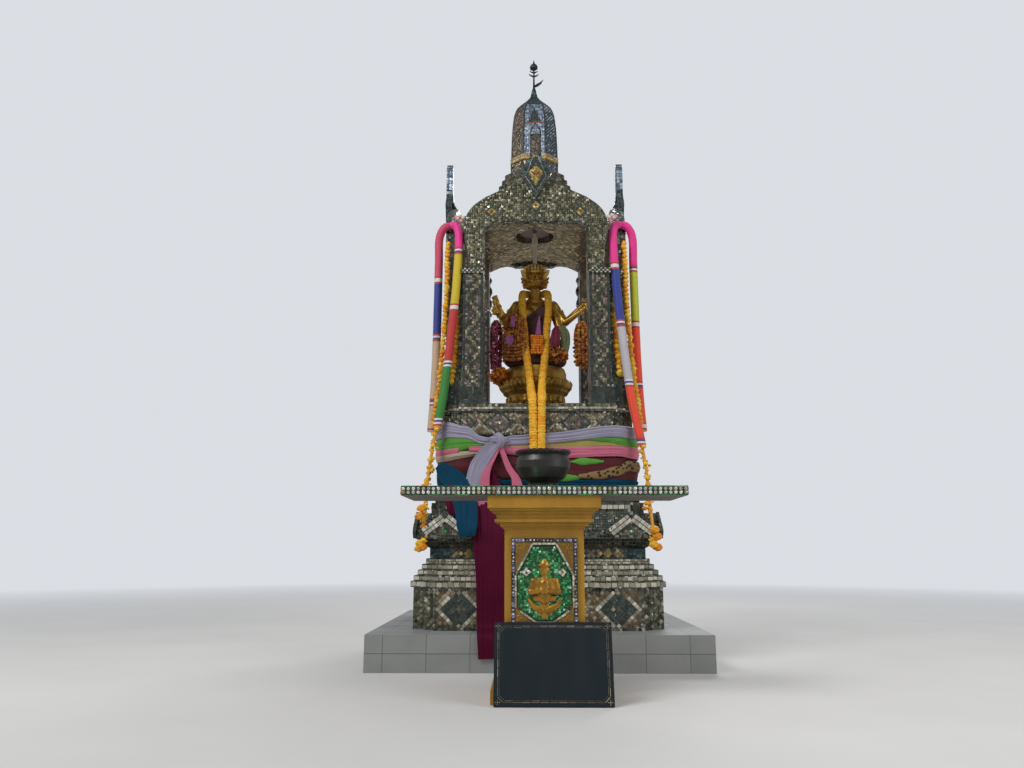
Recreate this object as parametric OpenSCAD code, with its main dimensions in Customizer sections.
// A mirror-mosaic spirit house: a four-faced gilded figure sits in an open pavilion with four arches
// and a bell dome, on a tall redented pedestal, with its offering table in front.
// The origin is on the ground, on the axis of the dome. The front looks along -Y.

/* [Stand] */
// Side of the square tiled stand
plinth_w = 2480; // [2200:10:2800]
// Height of the stand
plinth_h = 260; // [150:5:400]

/* [Pedestal] */
// Width of the dado over its arms
dado_w = 1910; // [1800:10:2000]
// Height of the dado
dado_h = 310; // [200:5:450]
// One redent of the corners
redent = 85; // [50:5:110]
// Height of the cap moulding on the dado
dado_cap_h = 45; // [30:1:80]
// How far the cap moulding stands out
dado_cap_out = 20; // [5:1:40]
// Number of mirror steps over the dado
step_count = 4; // [2:1:6]
// Height of one mirror step
step_h = 42; // [25:1:60]
// Set-back of one mirror step
step_in = 28; // [10:1:35]
// Width of the neck
neck_w = 1690; // [1600:10:1760]
// Height of the neck
neck_h = 150; // [90:5:220]
// Width of the drip edge over the neck
lip_w = 1880; // [1780:10:1960]
// Height of the drip edge
lip_h = 25; // [15:1:50]
// Height of the sloping roof over the drip edge
slope_h = 180; // [120:5:260]
// Width of the collar over the slope
collar_w = 1670; // [1600:10:1760]
// Height of the collar
collar_h = 75; // [40:5:120]
// Number of steps between the collar and the waist
upper_step_count = 3; // [2:1:5]
// Height of one upper step
upper_step_h = 78; // [40:1:100]
// Width of the waist
waist_w = 1500; // [1440:10:1560]
// Height of the waist
waist_h = 300; // [200:5:400]
// Width of the diamond frieze
frieze_w = 1550; // [1500:10:1620]
// Height of the diamond frieze
frieze_h = 185; // [120:5:260]
// Width of the pavilion floor
deck_w = 1590; // [1560:10:1660]
// Thickness of the pavilion floor
deck_h = 65; // [40:5:100]

/* [Pavilion] */
// Width of the four openings between the pillars
opening_w = 880; // [800:10:920]
// Width of a pillar's front face
pillar_w = 160; // [120:5:190]
// Width over the pillars
pavilion_w = 1500; // [1440:10:1540]
// Height of the pillar base blocks
pillar_base_h = 140; // [90:5:200]
// How far the base blocks stand out
pillar_base_out = 22; // [10:1:30]
// Height of the flared foot of a shaft
foot_h = 290; // [180:10:400]
// Height of a shaft over its foot
shaft_h = 665; // [500:5:900]
// Height of the capitals
capital_h = 45; // [30:1:80]
// How far the capitals stand out
capital_out = 14; // [6:1:20]

/* [Arches] */
// Thickness of the arch plates
arch_t = 70; // [50:5:100]
// Width over the shoulders of an arch
arch_w = 1200; // [1160:10:1240]
// Radius of the shoulders
shoulder_r = 260; // [240:5:290]
// Height of the shoulder centre over the capitals
shoulder_z = 362; // [340:2:380]
// Height of an arch over the capitals
arch_h = 795; // [770:5:830]
// Top of the front opening over the capitals
front_open_h = 405; // [385:5:420]
// Top of the other openings over the capitals
rear_open_h = 525; // [500:5:535]
// Radius of the corners of an opening
open_corner_r = 90; // [60:5:120]
// Thickness of the crest plates
crest_t = 55; // [40:5:80]
// Width of the diamond at the foot of a crest
crest_w = 260; // [200:10:300]
// Height of a crest
crest_h = 675; // [600:5:720]
// Width of the upper blade of a crest
blade_w = 96; // [70:2:120]

/* [Roof and dome] */
// Height of the vault's springing over the capitals
vault_spring = 440; // [430:2:450]
// Rise of the vault
vault_rise = 115; // [90:5:130]
// Number of steps under the dome
roof_step_count = 2; // [1:1:3]
// Height of one of these steps
roof_step_h = 60; // [40:1:70]
// Set-back of one of these steps
roof_step_in = 28; // [15:1:40]
// Width of the dome over its flats
dome_w = 418; // [380:2:460]
// Height of the straight drum of the dome
drum_h = 230; // [180:5:300]
// Height of the dome over its drum
dome_h = 666; // [580:2:760]
// Height of the finial
finial_h = 340; // [280:10:400]

/* [Figure] */
// Height of the figure from its seat to the top of its crown
figure_h = 990; // [900:10:1050]
// Height of the lotus seat
seat_h = 430; // [340:10:480]
// Width over the knees
knee_w = 570; // [480:10:640]

/* [Offering table] */
// Length of the slab
slab_w = 1670; // [1400:10:1800]
// Depth of the slab
slab_d = 620; // [500:10:700]
// Thickness of the slab
slab_t = 55; // [40:1:80]
// Height of the slab's top
table_h = 1220; // [1000:10:1350]
// Distance of the table's centre in front of the dome's axis
table_y = 2200; // [2000:10:2400]
// Width of the table's shaft
shaft_w = 466; // [400:2:520]
// Depth of the table's shaft
shaft_d = 400; // [340:2:460]
// How far the table's cap stands out
cap_out = 97; // [60:1:110]
// Radius of the incense bowl
bowl_r = 170; // [130:5:200]
// Height of the incense bowl
bowl_h = 225; // [160:5:260]
// Width of the leaning board
board_w = 670; // [500:10:720]
// Height of the leaning board
board_h = 455; // [380:5:500]
// Thickness of the leaning board
board_t = 20; // [12:1:30]

/* [Hidden] */

$fn = 48;

// Levels, each from the one under it
z_dado = plinth_h;
z_cap = z_dado + dado_h;
z_steps = z_cap + dado_cap_h;
z_neck = z_steps + step_count * step_h;
z_lip = z_neck + neck_h;
z_collar = z_lip + lip_h + slope_h;
z_upper = z_collar + collar_h;
z_waist = z_upper + upper_step_count * upper_step_h;
z_frieze = z_waist + waist_h;
z_deck = z_frieze + frieze_h;
z_floor = z_deck + deck_h;
z_pillar = z_floor + pillar_base_h;
z_capital = z_pillar + foot_h + shaft_h;
z_arch = z_capital + capital_h;

mosaic = "#4d4f49";
mosaic_dark = "#2f3a38";
gold = "#b9892f";

// Redented outlines

// The outline of a square tower with two redents in each corner, counter-clockwise
function redented(half, r) = let (a = half - 2 * r, b = half - r) [
    for (q = [0:3], p = [[half, a], [b, a], [b, b], [a, b], [a, half]])
        turned(p, q)
];
function turned(p, q) =
    q == 0 ? p : q == 1 ? [-p[1], p[0]] : q == 2 ? [-p[0], -p[1]] : [p[1], -p[0]];

module course(width, h, r = redent) {
    linear_extrude(height = h) polygon(redented(width / 2, r));
}

function total(points, i = 0) = i == len(points) ? [0, 0, 0] : points[i] + total(points, i + 1);
function middle(points) = total(points) / len(points);

// Joins outlines with the same number of points, one above the other. Each end is a fan round its
// hub, which is the middle of the outline or a point that sees all of its corners.
module loft(rings, hub = undef) {
    n = len(rings[0]);
    last = len(rings) - 1;
    ends = [for (k = [0, last])
        is_undef(hub) ? middle(rings[k]) : [hub[0], hub[1], rings[k][0][2]]];
    foot = n * (last + 1);
    polyhedron(
        points = concat([for (ring = rings, p = ring) p], ends),
        faces = concat(
            [for (i = [0:n - 1]) [foot, i, (i + 1) % n]],
            [for (k = [0:last - 1], i = [0:n - 1])
                [(k + 1) * n + i, (k + 1) * n + (i + 1) % n, k * n + (i + 1) % n, k * n + i]],
            [for (i = [0:n - 1]) [foot + 1, last * n + (i + 1) % n, last * n + i]]
        ),
        convexity = 8
    );
}
function raised(outline, z) = [for (p = outline) [p[0], p[1], z]];

// Stand and pedestal

module plinth() {
    color("#6f726f") translate([-plinth_w / 2, -plinth_w / 2, 0]) cube([plinth_w, plinth_w, plinth_h]);
}

module dado() {
    color(mosaic) translate([0, 0, z_dado]) course(dado_w, dado_h);
}

module mirror_steps() {
    color(mosaic) {
        translate([0, 0, z_cap]) course(dado_w + 2 * dado_cap_out, dado_cap_h);
        for (i = [0:step_count - 1]) translate([0, 0, z_steps])
            course(dado_w - 2 * i * step_in, (i + 1) * step_h);
    }
}

// The neck is straight, then a cove leans out under the drip edge
cove_h = 72;
cove_in = 6;

module neck() {
    color(mosaic_dark) {
        translate([0, 0, z_neck]) course(neck_w, neck_h - cove_h);
        loft([raised(redented(neck_w / 2, redent), z_lip - cove_h),
              raised(redented(lip_w / 2 - cove_in, lip_redent), z_lip)], [0, 0]);
    }
}

slope_steps = 5;
lip_redent = 38;
collar_redent = 60;
lip_half = lip_w / 2;
collar_half = collar_w / 2;

// The slope is a shallow hollow curve from the drip edge in to the collar
module slope() {
    loft([for (i = [0:slope_steps]) let (t = i / slope_steps, s = sqrt(t))
        raised(redented(lip_half + (collar_half - lip_half) * s,
                        lip_redent + (collar_redent - lip_redent) * s),
               z_lip + lip_h + t * slope_h)], [0, 0]);
}

module slope_roof() {
    color(mosaic_dark) {
        translate([0, 0, z_lip]) course(lip_w, lip_h, lip_redent);
        slope();
    }
}

gable_gap = 8;
gable_h = slope_h - 5;
gable_steps = 8;
corner_gable_w = 310;
lip_arm = lip_half - 2 * lip_redent;
corner_gable_x = lip_arm - corner_gable_w / 2 - 2;
middle_gable_w = 2 * (corner_gable_x - corner_gable_w / 2 - gable_gap);

// A gable w wide and h high with hollow flanks, that runs back over the slope
module gable(w, h) {
    rotate([90, 0, 0]) linear_extrude(height = lip_half - collar_half)
        polygon([for (i = [-gable_steps:gable_steps]) let (t = abs(i) / gable_steps)
            [i * w / 2 / gable_steps, h * pow(1 - t, 1.25)]]);
}

module slope_gables() {
    color(mosaic) difference() {
        for (q = [0:3]) rotate([0, 0, 90 * q]) translate([0, -collar_half, z_lip + lip_h]) {
            gable(middle_gable_w, gable_h);
            for (s = [-1, 1]) translate([s * corner_gable_x, 0, 0]) gable(corner_gable_w, gable_h);
        }
        slope();
    }
}

upper_drop = (collar_w - waist_w) / (upper_step_count + 1);

module upper_steps() {
    color(mosaic_dark) {
        translate([0, 0, z_collar]) course(collar_w, collar_h, collar_redent);
        for (i = [1:upper_step_count]) translate([0, 0, z_upper])
            course(collar_w - i * upper_drop, i * upper_step_h);
    }
}

module waist() {
    color(mosaic) translate([0, 0, z_waist]) course(waist_w, waist_h);
}

module frieze() {
    color(mosaic) translate([0, 0, z_frieze]) course(frieze_w, frieze_h);
}

module deck() {
    color(mosaic) translate([0, 0, z_deck]) course(deck_w, deck_h);
}

// Pavilion

open_half = opening_w / 2;
pier_half = pavilion_w / 2;
pier_arm = open_half + pillar_w;
pier_mid = (pier_half + pier_arm) / 2;

// Outline of one corner pier, with its outer faces moved out by g
function pier(g) = [
    [open_half, open_half], [pier_half + g, open_half], [pier_half + g, pier_arm + g],
    [pier_mid + g, pier_arm + g], [pier_mid + g, pier_mid + g], [pier_arm + g, pier_mid + g],
    [pier_arm + g, pier_half + g], [open_half, pier_half + g]
];

pier_hub = [(open_half + pier_arm) / 2, (open_half + pier_arm) / 2];

module at_corner(q) {
    rotate([0, 0, 90 * q]) children();
}

module pillar_bases() {
    color(mosaic) for (q = [0:3]) at_corner(q) translate([0, 0, z_floor])
        linear_extrude(height = pillar_base_h) polygon(pier(pillar_base_out));
}

foot_out = 16;
foot_rings = 5;

module pillar(q) {
    color(mosaic) at_corner(q) {
        loft([for (i = [0:foot_rings]) let (t = i / foot_rings)
            raised(pier(foot_out * pow(1 - t, 2)), z_pillar + t * foot_h)], pier_hub);
        translate([0, 0, z_pillar + foot_h]) linear_extrude(height = shaft_h) polygon(pier(0));
    }
}

module capitals() {
    color(mosaic_dark) for (q = [0:3]) at_corner(q) translate([0, 0, z_capital])
        linear_extrude(height = capital_h) polygon(pier(capital_out));
}

// Arches

arch_foot_half = pier_arm - 50;
slope_angle = 54;
arch_face = pier_half + capital_out;
spring_angle = -20;
shoulder_steps = 14;

// The slopes of an arch over its shoulders, as shares of its half width and of its height
arch_slope = [[0.71, 0.781], [0.57, 0.831], [0.43, 0.882], [0.3, 0.95], [0, 1]];

// Right half of an arch's outer outline, from its foot up to its top
function arch_side() = let (cx = arch_w / 2 - shoulder_r) concat(
    [[arch_foot_half, 0]],
    [for (i = [0:shoulder_steps])
        let (a = spring_angle + (slope_angle - spring_angle) * i / shoulder_steps)
            [cx + shoulder_r * cos(a), shoulder_z + shoulder_r * sin(a)]],
    [for (p = arch_slope) [p[0] * arch_w / 2, p[1] * arch_h]]
);
function flipped(points) = [for (i = [len(points) - 1:-1:0]) [-points[i][0], points[i][1]]];

module arch_outline() {
    polygon(concat(arch_side(), flipped(arch_side())));
}

jamb_lobe_r = 74;
jamb_lobe_gap = 128;
lobe_bite = 18;
jamb_lobes = 3;

front_jamb_out = 12;
point_half = 45;
point_h = 24;

// The front opening: round shoulders and a small point at the middle of its head
module front_opening() {
    head = front_open_h - open_corner_r;
    inner = open_half - front_jamb_out;
    translate([-inner, -1]) square([2 * inner, head + 1]);
    translate([-open_half + open_corner_r, 0])
        square([opening_w - 2 * open_corner_r, front_open_h]);
    for (s = [-1, 1]) translate([s * (open_half - open_corner_r), head]) circle(r = open_corner_r);
    polygon([[-point_half, front_open_h - 1], [point_half, front_open_h - 1],
             [0, front_open_h + point_h]]);
}

jamb_foot = 60;
head_lobe_r = 150;
head_lobe_x = 265;
head_cusp = 22;

// The other openings: lobed jambs and a head of three lobes
module lobed_opening() {
    head = rear_open_h - open_corner_r;
    inner = open_half - lobe_bite;
    translate([-inner, -1]) square([2 * inner, head + 1]);
    translate([-open_half + open_corner_r, 0])
        square([opening_w - 2 * open_corner_r, rear_open_h - head_cusp]);
    for (s = [-1, 1]) {
        translate([s * (open_half - open_corner_r + 10), head]) circle(r = open_corner_r);
        for (i = [0:jamb_lobes - 1])
            translate([s * (open_half - jamb_lobe_r), jamb_foot + i * jamb_lobe_gap])
                circle(r = jamb_lobe_r);
    }
    for (x = [-head_lobe_x, 0, head_lobe_x])
        translate([x, rear_open_h - head_lobe_r]) circle(r = head_lobe_r);
}

module arch_plate(front) {
    rotate([90, 0, 0]) linear_extrude(height = arch_t) difference() {
        arch_outline();
        if (front) front_opening();
        else lobed_opening();
    }
}

module arch(q, front) {
    color(mosaic) rotate([0, 0, 90 * q])
        translate([0, -arch_face + arch_t, z_arch]) arch_plate(front);
}

crest_sink = 200;
crest_z = z_arch + arch_h - crest_sink;
crest_diamond_h = 0.5 * crest_h;
crest_waist_h = 0.313 * crest_h;

module crest_outline() {
    blade = blade_w / 2;
    tip = crest_h - blade_w;
    half = [
        [0, 0], [crest_w / 2, crest_waist_h], [blade + 14, crest_diamond_h], [blade, crest_diamond_h + 30],
        [blade, tip], [0.7 * blade, tip + 0.55 * blade_w], [0, crest_h]
    ];
    polygon(concat(half, flipped(half)));
}

bracket_h = 190;

// A web that stands on the arch plate and curves up to the back of the crest
module bracket() {
    rotate([90, 0, 90]) translate([0, 0, -blade_w / 2]) linear_extrude(height = blade_w) polygon([
        [0, -60], [arch_t, -60], [arch_t, -8], [0.62 * arch_t, 0.1 * bracket_h],
        [0.33 * arch_t, 0.3 * bracket_h], [0.12 * arch_t, 0.62 * bracket_h], [0, bracket_h]
    ]);
}

module crests() {
    color(mosaic_dark) difference() {
        for (q = [0:3]) rotate([0, 0, 90 * q]) translate([0, -arch_face, 0]) {
            translate([0, 0, crest_z]) rotate([90, 0, 0]) linear_extrude(height = crest_t)
                crest_outline();
            translate([0, 0, z_arch + arch_h]) bracket();
        }
        for (q = [0:3]) rotate([0, 0, 90 * q]) translate([0, -arch_face + arch_t, z_arch])
            rotate([90, 0, 0]) linear_extrude(height = arch_t) arch_outline();
    }
}

// Roof

roof_drop = 65;
vault_r = (open_half * open_half + vault_rise * vault_rise) / (2 * vault_rise);
vault_top = vault_spring + vault_rise;
inner_half = arch_face - arch_t;
dish_r = 175;
dish_h = 55;

module roof_bar() {
    rotate([90, 0, 0]) translate([0, 0, -inner_half]) linear_extrude(height = 2 * inner_half)
        intersection() {
            translate([0, -roof_drop]) arch_outline();
            translate([-arch_w / 2, 0]) square([arch_w, arch_h]);
        }
}

module vault_bar() {
    rotate([90, 0, 0]) translate([0, 0, -inner_half - 1]) linear_extrude(height = 2 * inner_half + 2) {
        translate([-open_half, -1]) square([opening_w, vault_spring + 1]);
        intersection() {
            translate([0, vault_top - vault_r]) circle(r = vault_r, $fn = 96);
            translate([-open_half, vault_spring - 1]) square([opening_w, vault_rise + 2]);
        }
    }
}

module vault() {
    color("#8d7a5c") translate([0, 0, z_arch]) difference() {
        union() {
            roof_bar();
            rotate([0, 0, 90]) roof_bar();
        }
        vault_bar();
        rotate([0, 0, 90]) vault_bar();
        cylinder(r = dish_r, h = vault_top + dish_h);
    }
}

z_dish = z_arch + vault_top + dish_h;
rosette_t = 26;
rosette_r = dish_r - 45;
petals = 12;
petal_r = 0.43 * PI * rosette_r * 2 / petals;

module ceiling_rosette() {
    color("#5a1f1c") translate([0, 0, z_dish - rosette_t]) {
        cylinder(r = rosette_r, h = rosette_t);
        for (i = [0:petals - 1]) rotate([0, 0, 360 * i / petals])
            translate([rosette_r, 0, rosette_t / 3]) cylinder(r = petal_r, h = 2 * rosette_t / 3);
    }
}

lamp_r = 16;
tube_r = 19;
tube_h = 175;

module lamp() {
    color("#d9d4c4") translate([0, 0, z_dish - rosette_t]) {
        translate([0, 0, -45]) cylinder(r = lamp_r, h = 45);
        translate([0, 0, -115]) cylinder(r = 1.7 * lamp_r, h = 70);
        translate([0, 0, -115 - tube_h]) cylinder(r = tube_r, h = tube_h);
    }
}

dome_half = dome_w / 2;
dome_seat = dome_half + 62;
roof_rise = 318;
z_dome = z_arch + arch_h + roof_rise;
z_roof_steps = z_arch + vault_top + 50;

module octagon(half, h) {
    rotate([0, 0, 22.5]) cylinder(r = half / cos(22.5), h = h, $fn = 8);
}

module roof_steps() {
    low = z_dome - roof_step_count * roof_step_h;
    color(mosaic) difference() {
        union() {
            for (i = [1:roof_step_count]) translate([0, 0, low])
                octagon(dome_seat + (roof_step_count - i) * roof_step_in, i * roof_step_h);
            translate([0, 0, z_roof_steps])
                octagon(dome_seat + roof_step_count * roof_step_in, low - z_roof_steps);
        }
        translate([0, 0, z_arch]) {
            roof_bar();
            rotate([0, 0, 90]) roof_bar();
        }
    }
}

// Half width of the dome at share t of its height over the drum
function dome_curve(t) = dome_half * (1 - pow(t / 0.97, 3));
dome_rings = 14;
dome_tip = 24;

rib_w = 17;
rib_out = 8;

// One corner of the dome's octagon with its rib, at half width h over the flats
function rib_corner(h) = let (c = h * tan(22.5), w = rib_w / 2) [
    [h, c - w], [h + rib_out, c - w], [h + rib_out, c + rib_out * tan(22.5)],
    mirror_45([h + rib_out, c - w]), mirror_45([h, c - w])
];
// The point across the line at 22.5 degrees
function mirror_45(p) = [(p[0] + p[1]) * sqrt(0.5), (p[0] - p[1]) * sqrt(0.5)];
function spun(p, a) = [p[0] * cos(a) - p[1] * sin(a), p[0] * sin(a) + p[1] * cos(a)];
function ribbed(h) = [for (i = [0:7], p = rib_corner(h)) spun(p, 45 * i)];

module dome() {
    color("#59666b") loft(concat([raised(ribbed(dome_half), z_dome)],
        [for (i = [0:dome_rings]) let (t = i / dome_rings)
            raised(ribbed(max(dome_tip, dome_curve(t))), z_dome + drum_h + t * dome_h)]), [0, 0]);
}

band_z = 110;
band_h = 62;
band_out = 5;

module dome_band() {
    color("#a9822f") translate([0, 0, z_dome + band_z]) difference() {
        octagon(dome_half + rib_out + band_out, band_h);
        translate([0, 0, -1]) linear_extrude(height = band_h + 2) polygon(ribbed(dome_half));
    }
}

rod_r = 9;
z_finial = z_dome + drum_h + dome_h;
leaf_t = 9;

// A curled leaf that rises from the rod
module leaf(reach, rise) {
    rotate([90, 0, 0]) translate([0, 0, -leaf_t / 2]) linear_extrude(height = leaf_t)
        polygon([[0, -8], [0.45 * reach, 0.1 * rise], [0.8 * reach, 0.5 * rise], [reach, rise],
                 [0.62 * reach, 0.62 * rise], [0.3 * reach, 0.42 * rise], [0, 12]]);
}

module finial() {
    color("#202728") translate([0, 0, z_finial]) {
        rotate_extrude() polygon([
            [0, 0], [dome_tip, 0], [20, 22], [rod_r + 2, 50], [rod_r, 90], [rod_r - 3, finial_h - 105],
            [14, finial_h - 103], [36, finial_h - 88], [39, finial_h - 72], [30, finial_h - 52],
            [10, finial_h - 32], [3, finial_h], [0, finial_h]
        ]);
        for (q = [0:3]) rotate([0, 0, 90 * q]) {
            translate([rod_r - 5, 0, finial_h - 170]) leaf(46, 30);
            translate([rod_r - 5, 0, finial_h - 130]) leaf(36, 22);
        }
        // The left one of these leaves has broken off
        for (q = [0, 1, 3]) rotate([0, 0, 90 * q]) translate([rod_r - 4, 0, 64]) leaf(88, 76);
    }
}

// Gilded figure

z_seat = z_floor;
z_lap = z_seat + seat_h;
head_h = 0.235 * figure_h;
z_chin = z_lap + figure_h - head_h;
z_shoulder = z_chin - 0.135 * figure_h;

module seat() {
    r = knee_w / 2;
    color(gold) translate([0, 0, z_seat]) rotate_extrude($fn = 64) polygon([
        [0, 0], [r + 40, 0], [r + 40, 70], [r + 5, 92], [r - 30, 130], [r - 30, 180], [r - 5, 215],
        [r + 25, 262], [r + 30, 300], [r + 12, 318], [r - 10, 330], [r - 10, seat_h - 40],
        [r - 25, seat_h], [0, seat_h]
    ]);
}

// The body, its arms and its head are drawn for this height and grow with the figure
drawn_h = 990;
grow = figure_h / drawn_h;

module ball(p, r) {
    translate(grow * p) sphere(r = grow * r, $fn = 12);
}

module limb(a, b, ra, rb) {
    hull() {
        ball(a, ra);
        ball(b, rb);
    }
}

// Each arm is a shoulder, an elbow and a hand, mirrored to the other side
arms = [
    [[168, 10, 620], [290, -10, 455], [350, -80, 690]],
    [[168, 10, 620], [262, -60, 430], [440, -150, 520]],
    [[160, 40, 610], [300, 60, 470], [330, 40, 640]],
    [[160, -20, 600], [215, -70, 380], [175, -130, 215]]
];
arm_top = 640;

module arm(points) {
    limb(points[0], points[1], 46, 34);
    limb(points[1], points[2], 34, 24);
    ball(points[2] + [0, 0, 18], 31);
}

module figure() {
    k = knee_w / grow / 2;
    top = (z_shoulder - z_lap) / grow;
    color(gold) translate([0, 0, z_lap]) difference() {
        union() {
            for (s = [0, 1]) mirror([s, 0, 0]) {
                limb([90, 40, 75], [k - 75, -120, 72], 78, 66);
                limb([k - 75, -120, 72], [-40, -190, 60], 64, 50);
                for (points = arms) translate([0, 0, top - arm_top]) arm(points);
            }
            limb([0, 20, 90], [0, 20, 250], 130, 105);
            limb([0, 20, 250], [0, 15, top - 70], 105, 128);
            limb([-130, 15, top - 30], [130, 15, top - 30], 66, 66);
            limb([0, 10, top - 10], [0, 5, (z_chin - z_lap) / grow], 62, 50);
        }
        translate([-knee_w / 2, -knee_w / 2, -200]) cube([knee_w, knee_w, 200]);
    }
}

crown = [
    [0, 60], [98, 84], [104, 104], [92, 116], [80, 120], [84, 134], [66, 142], [62, 154], [48, 160],
    [44, 174], [30, 182], [24, 200], [9, 222], [0, 232]
];

module figure_head() {
    color(gold) translate([0, 5, z_chin]) {
        difference() {
            union() {
                for (q = [0:3]) rotate([0, 0, 90 * q]) hull() {
                    ball([0, -34, 62], 56);
                    ball([0, -34, 34], 38);
                }
                rotate_extrude($fn = 40) polygon(grow * crown);
            }
            translate([0, -5, -z_chin]) figure();
        }
    }
}

// A bunch of flowers that hangs from a hand
module bunch(h, r) {
    rotate_extrude($fn = 24) polygon([
        [0, 0], [0.6 * r, 0], [r, 0.16 * h], [0.92 * r, 0.3 * h], [0.55 * r, 0.42 * h],
        [0.62 * r, 0.7 * h], [0.4 * r, 0.92 * h], [0, h]
    ]);
}

// The flowers hang from a forearm, so their top is cut to it
module hand_garlands() {
    color("#7d2436") difference() {
        union() {
            translate([0, 0, z_lap] + grow * [-363, -111, -60]) bunch(grow * 525, grow * 66);
            translate([0, 0, z_lap] + grow * [430, -145, -60]) bunch(grow * 555, grow * 70);
        }
        figure();
    }
}

// Garlands

garland_d = 74;
neck_d = 64;

function sub(a, b) = [a[0] - b[0], a[1] - b[1], a[2] - b[2]];
function unit(v) = v / norm(v);
// The direction of a route at its point i
function along(route, i) = unit(sub(route[min(i + 1, len(route) - 1)], route[max(i - 1, 0)]));
// A first side direction for a ring, level and square to the route
function side_of(d) = abs(d[2]) > 0.98 ? [1, 0, 0] : unit(cross(d, [0, 0, 1]));

// A closed tube through the points of a route
module tube(route, d, sides = 8) {
    loft([for (i = [0:len(route) - 1]) let (
            t = along(route, i), u = unit(cross(cross(t, [0.82, 0.57, 0.05]), t)), v = cross(t, u))
        [for (k = [0:sides - 1]) let (a = 360 * k / sides)
            route[i] + d / 2 * (cos(a) * u + sin(a) * v)]]);
}

left_front_route = [
    [-725, -636, 3558], [-672, -655, 3540], [-646, -690, 3440], [-648, -715, 3250], [-658, -735, 3040],
    [-672, -750, 2830], [-690, -762, 2620], [-710, -772, 2410], [-734, -780, 2200], [-762, -785, 1990],
    [-800, -790, 1790], [-835, -795, 1590], [-858, -810, 1390], [-866, -850, 1190], [-870, -930, 1010],
    [-870, -940, 880]
];
left_side_route = [
    [-725, -636, 3558], [-780, -636, 3530], [-820, -612, 3440], [-822, -600, 3240], [-824, -598, 3030],
    [-826, -598, 2820], [-828, -600, 2610], [-832, -604, 2400], [-838, -612, 2190], [-846, -625, 1990],
    [-856, -650, 1790]
];
function mirrored(route) = [for (p = route) [-p[0], p[1], p[2]]];

neck_half = [
    [-36, -846, 1580], [-40, -846, 1700], [-52, -846, 1860], [-56, -832, 2030], [-60, -720, 2072],
    [-66, -560, 2120], [-74, -420, 2220], [-82, -335, 2350], [-86, -270, 2500], [-90, -190, 2650],
    [-98, -160, 2800], [-112, -128, 2950], [-108, -70, 3095], [-98, 20, 3150], [-42, 87, 3160]
];
neck_route = concat(neck_half, [for (i = [len(neck_half) - 1:-1:0])
    [-neck_half[i][0], neck_half[i][1], neck_half[i][2]]]);

// Sashes

sash_out = 25;
sash_half = frieze_w / 2 + sash_out;
sash_low = upper_step_h - 6;
sash_top = 55;

// A band that spans the redents, from corner to corner of a course
function spanned(half, r) = let (a = half - 2 * r) [
    for (q = [0:3], p = [[half, a], [a, half]]) turned(p, q)
];

// The courses under the band: foot, top and width of each
sash_courses = [
    [z_waist - sash_low - 1, z_waist, collar_w - upper_step_count * upper_drop],
    [z_waist - 0.5, z_frieze + 0.5, waist_w], [z_frieze, z_frieze + sash_top + 1, frieze_w]
];

module sash_band() {
    color("#c9c2d6") difference() {
        translate([0, 0, z_waist - sash_low]) linear_extrude(height = sash_low + waist_h + sash_top)
            polygon(spanned(sash_half, redent));
        for (c = sash_courses) translate([0, 0, c[0]]) linear_extrude(height = c[1] - c[0])
            polygon(spanned(c[2] / 2, redent));
    }
}

// A strip of cloth w wide and t thick that hangs and lies along a route in the plane of Y and Z
module strip(route, w, t) {
    loft([for (i = [0:len(route) - 1]) let (
            d = along(route, i), n = t / 2 * [0, -d[2], d[1]], x = [w / 2, 0, 0], p = route[i])
        [p - x - n, p - x + n, p + x + n, p + x - n]]);
}

tail_t = 12;
tail_w = 250;
tail_x = -395;
tail_gap = 0.3;
waist_front = -sash_half - tail_t / 2 - tail_gap;
stand_top = plinth_h + tail_t / 2 + tail_gap;
stand_front = -plinth_w / 2 - tail_t / 2 - tail_gap;

// The long tail hangs from the band in front of the mouldings and over the edge of the stand
module sash_tails() {
    lip_front = -lip_w / 2 - 20;
    dado_front = -dado_w / 2 - dado_cap_out - 16;
    color("#b06a9a") strip([
        [tail_x, waist_front, z_waist + waist_h - 40], [tail_x, waist_front, z_waist - sash_low],
        [tail_x, -collar_w / 2 - 30, z_collar + 40], [tail_x, lip_front, z_lip + lip_h],
        [tail_x, dado_front, z_cap], [tail_x, dado_front - 5, plinth_h + 60],
        [tail_x, dado_front - 40, stand_top], [tail_x, stand_front + 20, stand_top],
        [tail_x, stand_front, plinth_h - 20], [tail_x, stand_front, plinth_h - 170]
    ], tail_w, tail_t);
}

// Offering table

table_z = table_h - slab_t;
table_x = 12;

module at_table() {
    translate([table_x, -table_y, 0]) children();
}

module table_slab() {
    color("#5c6b62") at_table() translate([-slab_w / 2, -slab_d / 2, table_z])
        cube([slab_w, slab_d, slab_t]);
}

module block(out, z, h) {
    translate([-shaft_w / 2 - out, -shaft_d / 2 - out, z])
        cube([shaft_w + 2 * out, shaft_d + 2 * out, h]);
}

// The cap's mouldings from the slab down: how far out each stands, as a share, and its height
cap_rows = [[1, 72], [0.86, 14], [0.62, 18], [0.48, 32], [0.58, 16], [0.27, 24], [0.09, 14]];
function fallen(i) = i < 0 ? 0 : cap_rows[i][1] + fallen(i - 1);

module table_pedestal() {
    color(gold) at_table() {
        block(0, 0, table_z);
        for (i = [0:len(cap_rows) - 1]) {
            block(cap_out * cap_rows[i][0], table_z - fallen(i), cap_rows[i][1]);
            block(0.8 * cap_out * cap_rows[i][0], fallen(i - 1), cap_rows[i][1]);
        }
    }
}

panel_w = 386;
panel_t = 14;
panel_z = 420;
panel_gap = 55;
panel_h = table_z - fallen(len(cap_rows) - 1) - panel_gap - panel_z;
panel_rim = 30;

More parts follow.
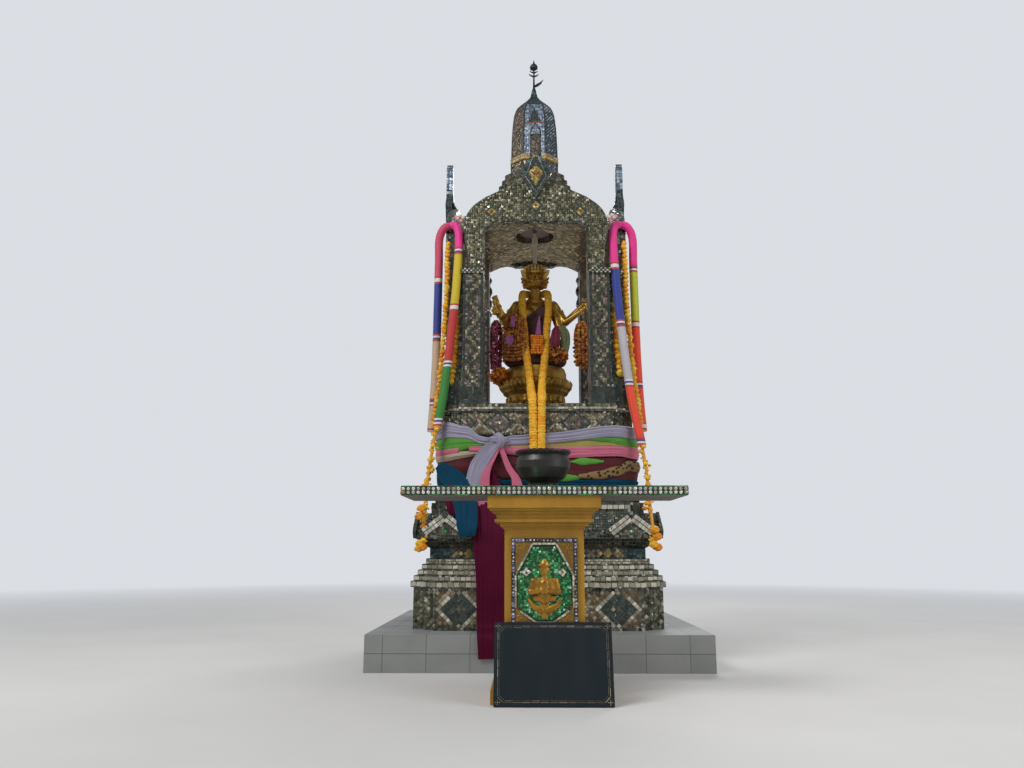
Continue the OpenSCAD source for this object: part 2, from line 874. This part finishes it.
module octagon_panel(w, h) {
    c = 0.36 * w;
    polygon([
        [-w / 2 + c, 0], [w / 2 - c, 0], [w / 2, 0.17 * h], [w / 2, 0.6 * h], [w / 2 - 0.82 * c, h],
        [-w / 2 + 0.82 * c, h], [-w / 2, 0.6 * h], [-w / 2, 0.17 * h]
    ]);
}

module table_panel() {
    color("#3f6b4a") at_table() translate([0, -shaft_d / 2, panel_z]) rotate([90, 0, 0])
        difference() {
            translate([-panel_w / 2, 0, 0]) cube([panel_w, panel_h, panel_t]);
            translate([0, panel_rim, panel_t - 6]) linear_extrude(height = 7)
                octagon_panel(panel_w - 66, panel_h - 70);
        }
}

bowl_t = 14;
bowl_y = -80;

module incense_bowl() {
    color("#1d1c1b") at_table() translate([0, bowl_y, table_h]) rotate_extrude($fn = 64)
        polygon([
            [0, 0], [0.56 * bowl_r, 0], [0.56 * bowl_r, 18], [0.5 * bowl_r, 34], [0.78 * bowl_r, 62],
            [0.96 * bowl_r, 120], [0.97 * bowl_r, 160], [0.88 * bowl_r, bowl_h - 30],
            [bowl_r, bowl_h - 10], [bowl_r, bowl_h], [bowl_r - bowl_t, bowl_h],
            [0.86 * bowl_r - bowl_t, bowl_h - 32], [0.92 * bowl_r - bowl_t, 150],
            [0.88 * bowl_r - bowl_t, 110], [0.6 * bowl_r, 66], [0, 56]
        ]);
}

board_lean = 14;
board_x = 45;

module board() {
    color("#2a3138") translate([table_x + board_x, -table_y - shaft_d / 2 - panel_t, 0])
        translate([0, -board_h * sin(board_lean), 0]) rotate([-board_lean, 0, 0])
            translate([-board_w / 2, -board_t, 0]) cube([board_w, board_t, board_h]);
}

plinth();
dado();
mirror_steps();
neck();
slope_roof();
slope_gables();
upper_steps();
waist();
frieze();
deck();
pillar_bases();
pillar(2);  // pillar_front_left
pillar(3);  // pillar_front_right
pillar(1);  // pillar_back_left
pillar(0);  // pillar_back_right
capitals();
arch(0, true);  // arch_front
arch(2, false);  // arch_back
arch(3, false);  // arch_left
arch(1, false);  // arch_right
vault();
ceiling_rosette();
lamp();
roof_steps();
crests();
dome();
dome_band();
finial();
seat();
figure();
figure_head();
hand_garlands();
color("#e0a01e") tube(neck_route, neck_d);  // neck_garland
color("#c8302a") tube(left_front_route, garland_d);  // garland_left_front
color("#2f4a9a") tube(left_side_route, garland_d);  // garland_left_side
color("#c8302a") tube(mirrored(left_front_route), garland_d);  // garland_right_front
color("#2f4a9a") tube(mirrored(left_side_route), garland_d);  // garland_right_side
sash_band();
sash_tails();
table_slab();
table_pedestal();
table_panel();
incense_bowl();
board();
